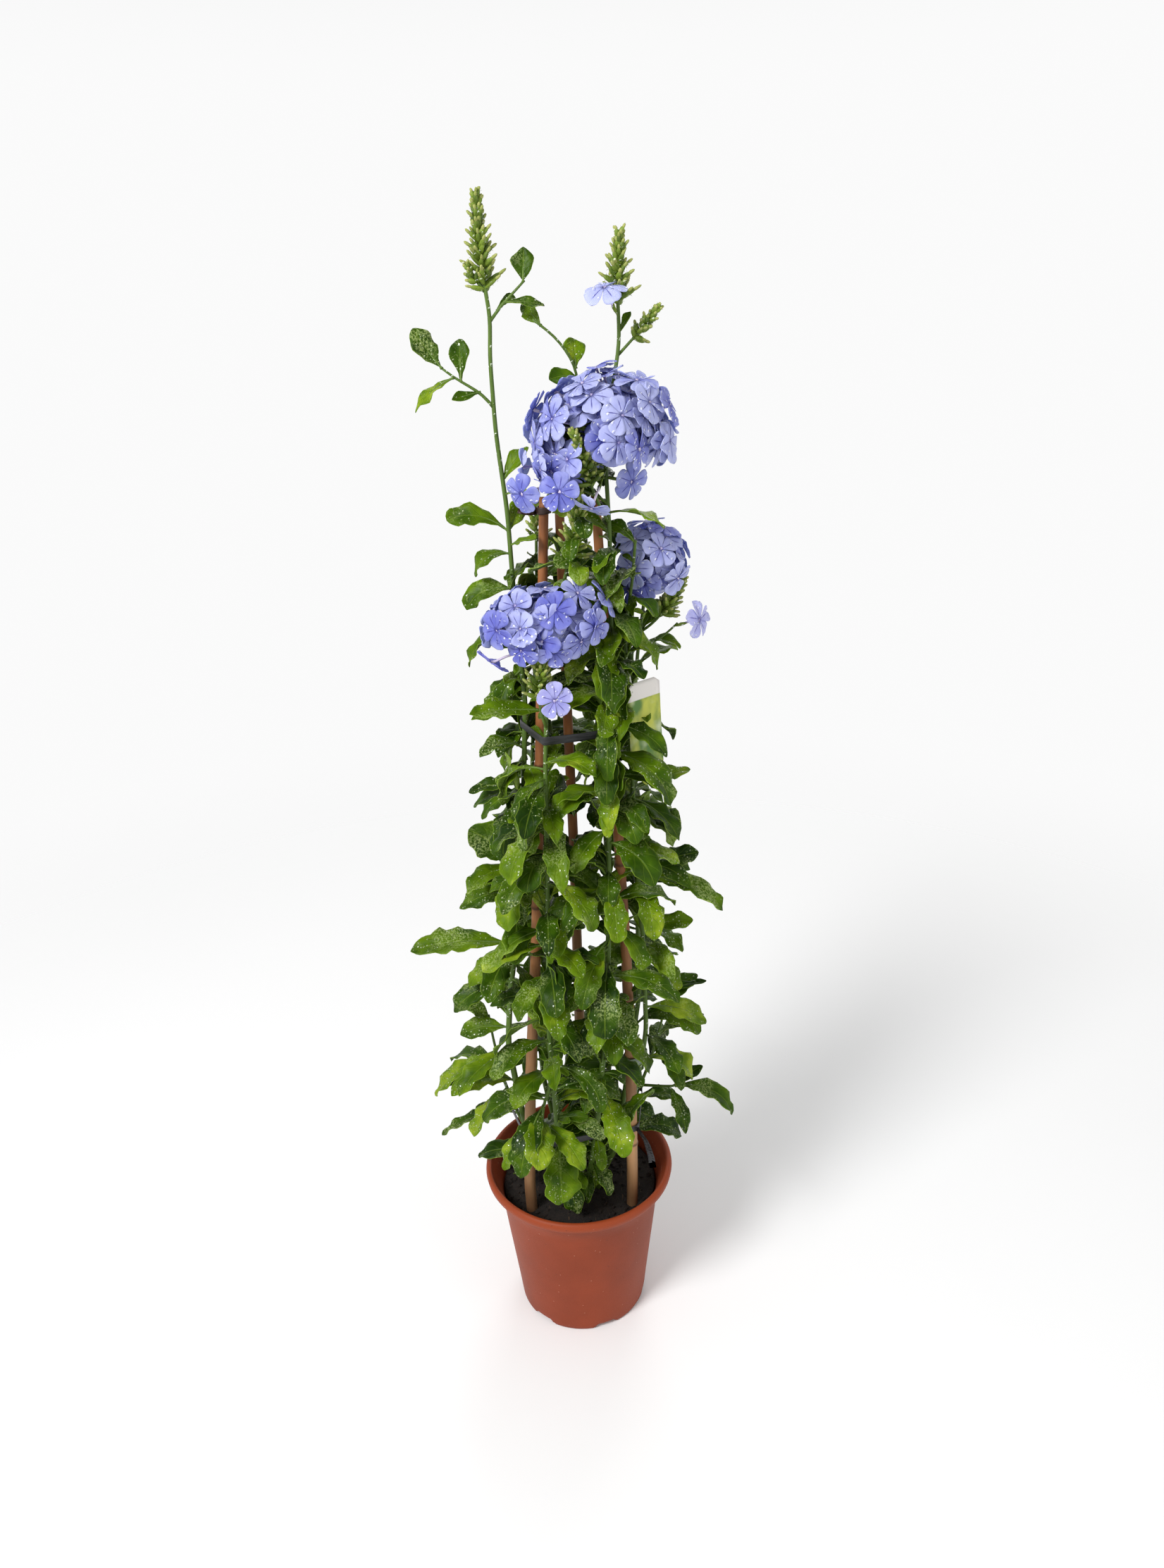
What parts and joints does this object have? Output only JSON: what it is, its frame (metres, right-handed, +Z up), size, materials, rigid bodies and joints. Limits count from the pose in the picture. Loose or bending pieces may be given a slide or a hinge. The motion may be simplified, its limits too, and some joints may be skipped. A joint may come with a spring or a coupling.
{
  "type": "potted cape leadwort",
  "caption": "Potted cape leadwort with sky-blue flower heads, trained up bamboo canes in a terracotta-coloured plastic pot; stands on its flat base.",
  "frame": {"origin": "centre of the pot's flat base, on the surface that it stands on", "axes": "+Z up along the canes, -Y towards the side that the plant faces, +X to the right of that view"},
  "size_m": [0.272, 0.2203, 0.9423],
  "materials": {
    "pot": "satin moulded",
    "soil": "matte crumbly",
    "cane": "satin, natural bamboo",
    "tape": "matte",
    "tag": "smooth",
    "leaf": "satin leaf",
    "petal": "soft matte petal"
  },
  "bodies": {
    "root": {"pot": "pot", "soil": "soil", "cane_left": "cane", "cane_right": "cane", "cane_back": "cane", "tie_low": "tape", "tie_high": "tape", "tie_middle": "tape", "tie_top": "tape", "tag": "tag", "stem_left": "leaf", "stem_centre": "leaf", "stem_front": "leaf", "stem_right": "leaf", "stem_right_front": "leaf", "stem_back_left": "leaf", "stem_back_right": "leaf", "shoot_left": "leaf", "shoot_front": "leaf", "shoot_right": "leaf", "flower_head_top": "petal", "flower_head_front": "petal", "flower_head_right": "petal", "flower_low": "petal", "flower_side": "petal", "flower_high": "petal"}
  },
  "joints": []
}
